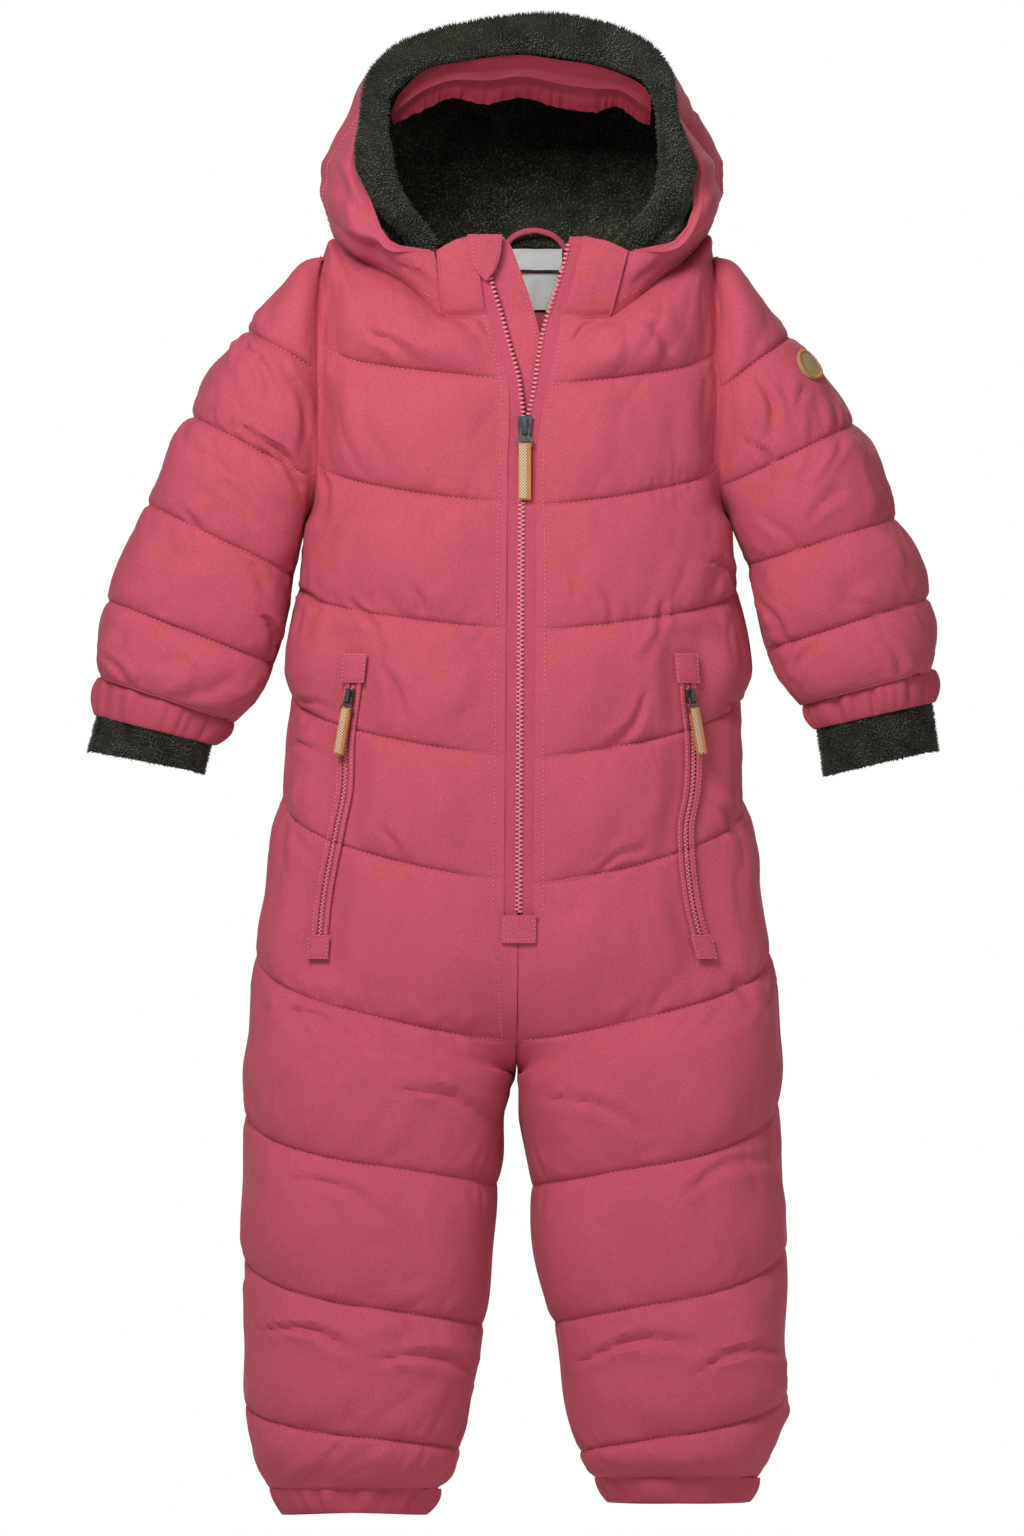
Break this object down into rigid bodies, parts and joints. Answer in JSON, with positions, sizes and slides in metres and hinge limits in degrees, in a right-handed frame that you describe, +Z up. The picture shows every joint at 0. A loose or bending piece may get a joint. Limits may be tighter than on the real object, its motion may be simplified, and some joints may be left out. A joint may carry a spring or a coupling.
{
  "type": "baby snowsuit",
  "caption": "Hooded one-piece baby snowsuit in coral quilted cloth with a dark fleece hood lining, fleece cuffs, a front zip and slanted zip pockets, held open as when worn.",
  "frame": {"origin": "centre of the neck opening, level with the seam of hood and collar", "axes": "+Z up the wearer's body to the hood, -Y out of the suit's front, +X to the wearer's left"},
  "size_m": [0.5356, 0.1767, 0.9467],
  "materials": {
    "shell": "matte woven coral shell cloth, quilted",
    "shell_trim": "matte woven coral trim cloth",
    "fleece": "deep pile, dark olive grey",
    "zip_tape": "woven zip tape",
    "label": "bare woven label",
    "badge": "bare olive tan badge",
    "puller": "tan pull tab",
    "metal": "gunmetal, satin"
  },
  "bodies": {
    "suit": {"front_right": "shell", "back_right": "shell", "sleeve_right": "shell", "cuff_right": "shell_trim", "hem_right": "shell_trim", "fleece_cuff_right": "fleece", "hood_side_right": "shell", "chin_right": "shell", "zip_right": "zip_tape", "pocket_lip_inner_right": "shell_trim", "pocket_lip_outer_right": "shell_trim", "pocket_zip_right": "zip_tape", "pocket_garage_right": "shell_trim", "pocket_foot_right": "shell_trim", "pocket_slider_right": "metal", "front_left": "shell", "back_left": "shell", "sleeve_left": "shell", "cuff_left": "shell_trim", "hem_left": "shell_trim", "fleece_cuff_left": "fleece", "hood_side_left": "shell", "chin_left": "shell", "zip_left": "zip_tape", "pocket_lip_inner_left": "shell_trim", "pocket_lip_outer_left": "shell_trim", "pocket_zip_left": "zip_tape", "pocket_garage_left": "shell_trim", "pocket_foot_left": "shell_trim", "pocket_slider_left": "metal", "hood_back": "shell", "hood_lining": "fleece", "hood_band": "fleece", "hood_strip": "shell_trim", "underlap": "shell_trim", "zip_box": "shell_trim", "chin_guard": "shell_trim", "hanger_loop": "shell_trim", "label_upper": "label", "label_lower": "label", "patch": "badge", "front_slider": "metal"},
    "front_pull": {"front_puller": "metal", "front_tab": "puller"},
    "pocket_pull_right": {"pocket_puller_right": "metal", "pocket_tab_right": "puller"},
    "pocket_pull_left": {"pocket_puller_left": "metal", "pocket_tab_left": "puller"}
  },
  "joints": [
    {"name": "front_pull_hinge", "type": "hinge", "parent": "suit", "child": "front_pull", "pos_m": [0.0042, -0.07988, -0.1056], "axis": [-1, 0, 0], "range_deg": [0, 115]},
    {"name": "pocket_pull_hinge_right", "type": "hinge", "parent": "suit", "child": "pocket_pull_right", "pos_m": [-0.10688, -0.0705, -0.27451], "axis": [-0.8727, 0.4679, 0.1395], "range_deg": [0, 115]},
    {"name": "pocket_pull_hinge_left", "type": "hinge", "parent": "suit", "child": "pocket_pull_left", "pos_m": [0.10974, -0.06819, -0.27451], "axis": [-0.8505, -0.5072, -0.1395], "range_deg": [0, 115]}
  ]
}
